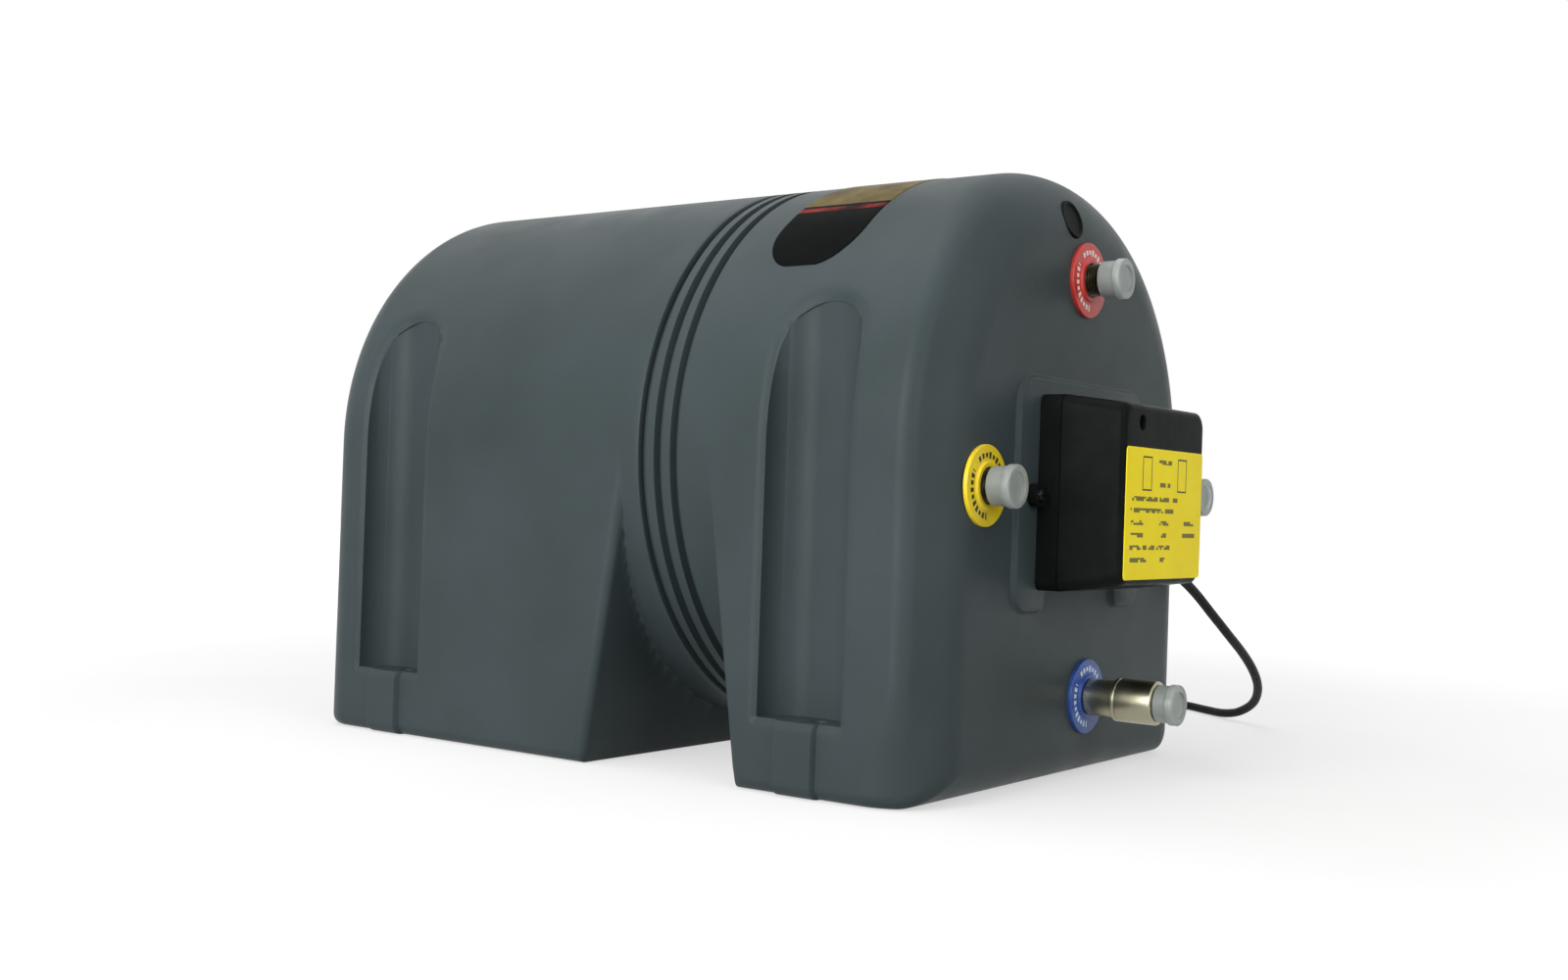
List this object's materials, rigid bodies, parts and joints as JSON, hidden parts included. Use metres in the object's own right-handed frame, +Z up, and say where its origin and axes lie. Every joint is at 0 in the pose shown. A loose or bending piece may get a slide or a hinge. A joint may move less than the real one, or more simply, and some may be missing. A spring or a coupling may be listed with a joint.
{
  "type": "caravan water heater",
  "caption": "Horizontal electric and engine-heated caravan water heater: arched moulded casing on two feet, front terminal box, colour-ringed water ports and a mains cable",
  "frame": {"origin": "On the floor plane, in the middle of the four vertical fixing holes in the feet", "axes": "+Z up, -Y out of the front face with the fittings, +X to the right seen from the front"},
  "size_m": [0.6613, 0.5752, 0.39],
  "materials": {
    "casing": "satin moulded polypropylene",
    "foam": "rigid foam",
    "stainless": "mill finish",
    "gasket": "matt",
    "brass": "machined",
    "nickel": "nickel plated brass, satin",
    "zinc_steel": "zinc plated",
    "sheath": "annealed",
    "magnesium": "cast",
    "cream_plastic": "satin",
    "red_plastic": "satin",
    "yellow_plastic": "satin",
    "blue_plastic": "satin",
    "clear_cap": "translucent polyethylene",
    "black_plastic": "fine grain",
    "badge": "gloss",
    "label": "printed film",
    "cable": "satin",
    "leads": "satin"
  },
  "bodies": {
    "heater": {"rear_shell": "casing", "front_shell": "casing", "insulation": "foam", "tank_barrel": "stainless", "tank_front_dome": "stainless", "tank_rear_dome": "stainless", "element_boss": "stainless", "engine_coil": "stainless", "hot_pickup": "stainless", "cold_spreader": "stainless", "flange_gasket": "gasket", "element_flange": "brass", "thermostat_pocket": "brass", "engine_port_left": "brass", "engine_port_right": "brass", "hot_outlet": "brass", "cold_inlet": "brass", "terminal_screws": "brass", "flange_bolts": "zinc_steel", "lug_screws": "zinc_steel", "valve_spring": "zinc_steel", "heating_element": "sheath", "anode": "magnesium", "thermostat": "cream_plastic", "terminal_block": "cream_plastic", "valve_guide": "cream_plastic", "hot_collar": "red_plastic", "engine_collar_left": "yellow_plastic", "engine_collar_right": "yellow_plastic", "cold_collar": "blue_plastic", "valve_body": "nickel", "filling_plug": "black_plastic", "box_tray": "black_plastic", "cable_gland": "black_plastic", "mains_plug": "black_plastic", "coil_tie": "black_plastic", "badge_plate": "badge", "mains_cable": "cable", "cable_coil": "cable", "box_leads": "leads"},
    "dial": {"thermostat_dial": "cream_plastic"},
    "button": {"reset_button": "red_plastic"},
    "poppet": {"valve_poppet": "cream_plastic"},
    "cover": {"box_cover": "black_plastic", "cover_screw": "zinc_steel", "label_plate": "label"},
    "cap_hot": {"hot_cap": "clear_cap"},
    "cap_left": {"engine_cap_left": "clear_cap"},
    "cap_right": {"engine_cap_right": "clear_cap"},
    "cap_cold": {"cold_cap": "clear_cap"}
  },
  "joints": [
    {"name": "dial_turn", "type": "hinge", "parent": "heater", "child": "dial", "pos_m": [-0.008, -0.2968, 0.207], "axis": [0, -1, 0], "range_deg": [-135, 135]},
    {"name": "button_push", "type": "slide", "parent": "heater", "child": "button", "axis": [0, 1, 0], "range_m": [0, 0.0015], "stiffness_N_per_m": 400},
    {"name": "poppet_lift", "type": "slide", "parent": "heater", "child": "poppet", "axis": [0, 1, 0], "range_m": [0, 0.004], "stiffness_N_per_m": 300, "deforming": ["valve_spring"]},
    {"name": "cover_off", "type": "slide", "parent": "heater", "child": "cover", "axis": [0, -1, 0], "range_m": [0, 0.07]},
    {"name": "hot_cap_off", "type": "slide", "parent": "heater", "child": "cap_hot", "axis": [0, -1, 0], "range_m": [0, 0.04]},
    {"name": "left_cap_off", "type": "slide", "parent": "heater", "child": "cap_left", "axis": [0, -1, 0], "range_m": [0, 0.04]},
    {"name": "right_cap_off", "type": "slide", "parent": "heater", "child": "cap_right", "axis": [0, -1, 0], "range_m": [0, 0.04]},
    {"name": "cold_cap_off", "type": "slide", "parent": "heater", "child": "cap_cold", "axis": [0, -1, 0], "range_m": [0, 0.04]}
  ]
}
